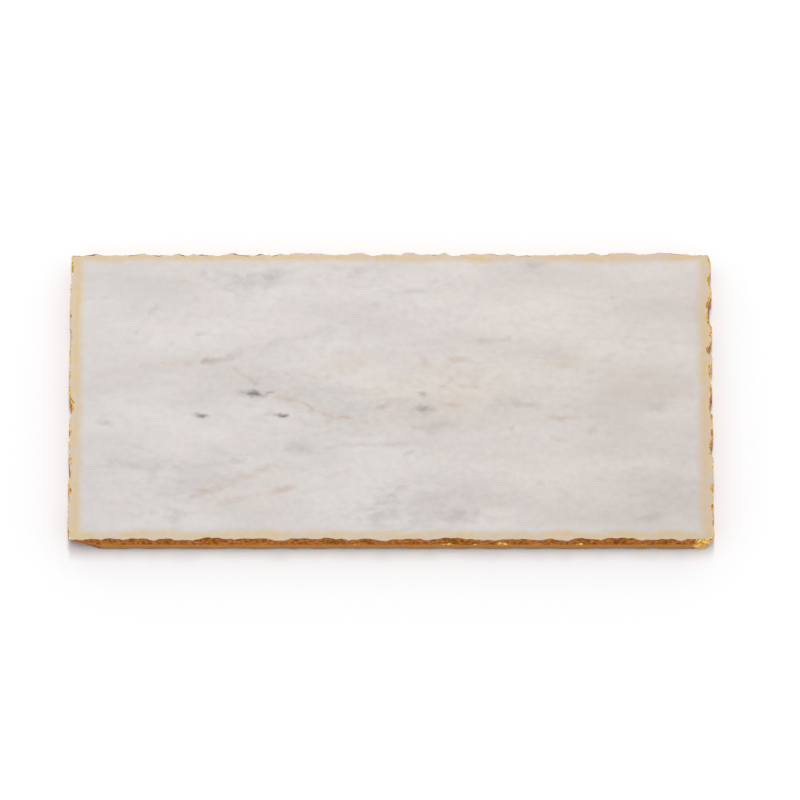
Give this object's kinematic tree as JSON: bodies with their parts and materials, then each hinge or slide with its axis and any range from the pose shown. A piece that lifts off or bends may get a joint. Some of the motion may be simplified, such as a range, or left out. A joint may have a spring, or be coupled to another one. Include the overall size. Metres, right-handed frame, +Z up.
{
  "type": "marble vanity tray",
  "caption": "Flat rectangular marble tray for a dresser or vanity, with hand-broken edges coated in gold-coloured leaf and low bumpers underneath.",
  "frame": {"origin": "on the surface that the tray rests on, under the middle of the slab", "axes": "+X along the length, towards the right seen from the front; -Y towards the front; +Z up, out of the top face"},
  "size_m": [0.381, 0.178, 0.0177],
  "materials": {
    "marble": "polished top, sawn underside",
    "brass_leaf": "imitation gold leaf under clear lacquer",
    "clear_silicone": "clear, smooth",
    "adhesive_film": "translucent double-sided film"
  },
  "bodies": {
    "root": {"marble_slab": "marble", "gilded_edge": "brass_leaf", "bumper_front_left": "clear_silicone", "bumper_front_right": "clear_silicone", "bumper_back_left": "clear_silicone", "bumper_back_right": "clear_silicone", "adhesive_front_left": "adhesive_film", "adhesive_front_right": "adhesive_film", "adhesive_back_left": "adhesive_film", "adhesive_back_right": "adhesive_film"}
  },
  "joints": []
}
